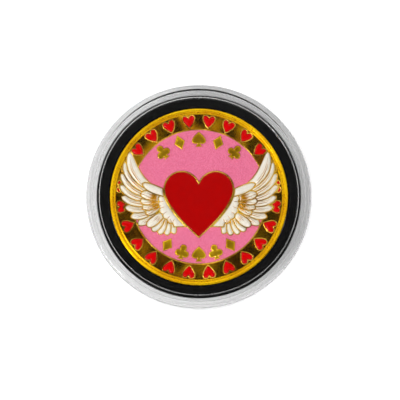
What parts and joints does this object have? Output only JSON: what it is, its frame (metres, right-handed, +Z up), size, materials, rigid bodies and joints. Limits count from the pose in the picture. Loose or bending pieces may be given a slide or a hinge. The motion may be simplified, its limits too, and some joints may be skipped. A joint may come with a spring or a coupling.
{
  "type": "dealer button",
  "caption": "Round enamelled metal coin with a winged heart, centred by a black foam ring inside a clear press-fit capsule.",
  "frame": {"origin": "centre of the capsule's footprint, on the plane of its lower rim", "axes": "+Z up through the windows, from base to lid; +Y towards the top of the coin's design; +X to its right"},
  "size_m": [0.049, 0.049, 0.0066],
  "materials": {
    "clear_acrylic": "clear, polished, injection moulded",
    "black_foam": "matte closed-cell foam, die cut",
    "gold_plate": "polished gold plate on a struck coin",
    "pink_enamel": "glossy soft enamel",
    "red_enamel": "glossy soft enamel",
    "ivory_enamel": "glossy soft enamel"
  },
  "bodies": {
    "base": {"capsule_base": "clear_acrylic"},
    "lid": {"capsule_lid": "clear_acrylic"},
    "ring": {"foam_ring": "black_foam"},
    "coin": {"coin_body": "gold_plate", "obverse_pink_enamel_upper": "pink_enamel", "obverse_pink_enamel_lower": "pink_enamel", "reverse_pink_enamel_upper": "pink_enamel", "reverse_pink_enamel_lower": "pink_enamel", "obverse_heart_enamel": "red_enamel", "obverse_border_hearts_enamel": "red_enamel", "reverse_heart_enamel": "red_enamel", "reverse_border_hearts_enamel": "red_enamel", "obverse_left_wing_arm": "ivory_enamel", "obverse_left_wing_shoulder": "ivory_enamel", "obverse_left_wing_coverts": "ivory_enamel", "obverse_left_wing_tertials": "ivory_enamel", "obverse_left_wing_primaries": "ivory_enamel", "obverse_right_wing_arm": "ivory_enamel", "obverse_right_wing_shoulder": "ivory_enamel", "obverse_right_wing_coverts": "ivory_enamel", "obverse_right_wing_tertials": "ivory_enamel", "obverse_right_wing_primaries": "ivory_enamel", "reverse_left_wing_arm": "ivory_enamel", "reverse_left_wing_shoulder": "ivory_enamel", "reverse_left_wing_coverts": "ivory_enamel", "reverse_left_wing_tertials": "ivory_enamel", "reverse_left_wing_primaries": "ivory_enamel", "reverse_right_wing_arm": "ivory_enamel", "reverse_right_wing_shoulder": "ivory_enamel", "reverse_right_wing_coverts": "ivory_enamel", "reverse_right_wing_tertials": "ivory_enamel", "reverse_right_wing_primaries": "ivory_enamel"}
  },
  "joints": [
    {"name": "lid_lift", "type": "slide", "parent": "base", "child": "lid", "axis": [0, 0, 1], "range_m": [0, 0.024]},
    {"name": "ring_lift", "type": "slide", "parent": "base", "child": "ring", "axis": [0, 0, 1], "range_m": [0, 0.008]},
    {"name": "coin_lift", "type": "slide", "parent": "ring", "child": "coin", "axis": [0, 0, 1], "range_m": [0, 0.008]}
  ],
  "couplings": [
    {"joint": "ring_lift", "follows": "lid_lift", "ratio": 0.33333},
    {"joint": "coin_lift", "follows": "lid_lift", "ratio": 0.33333}
  ]
}
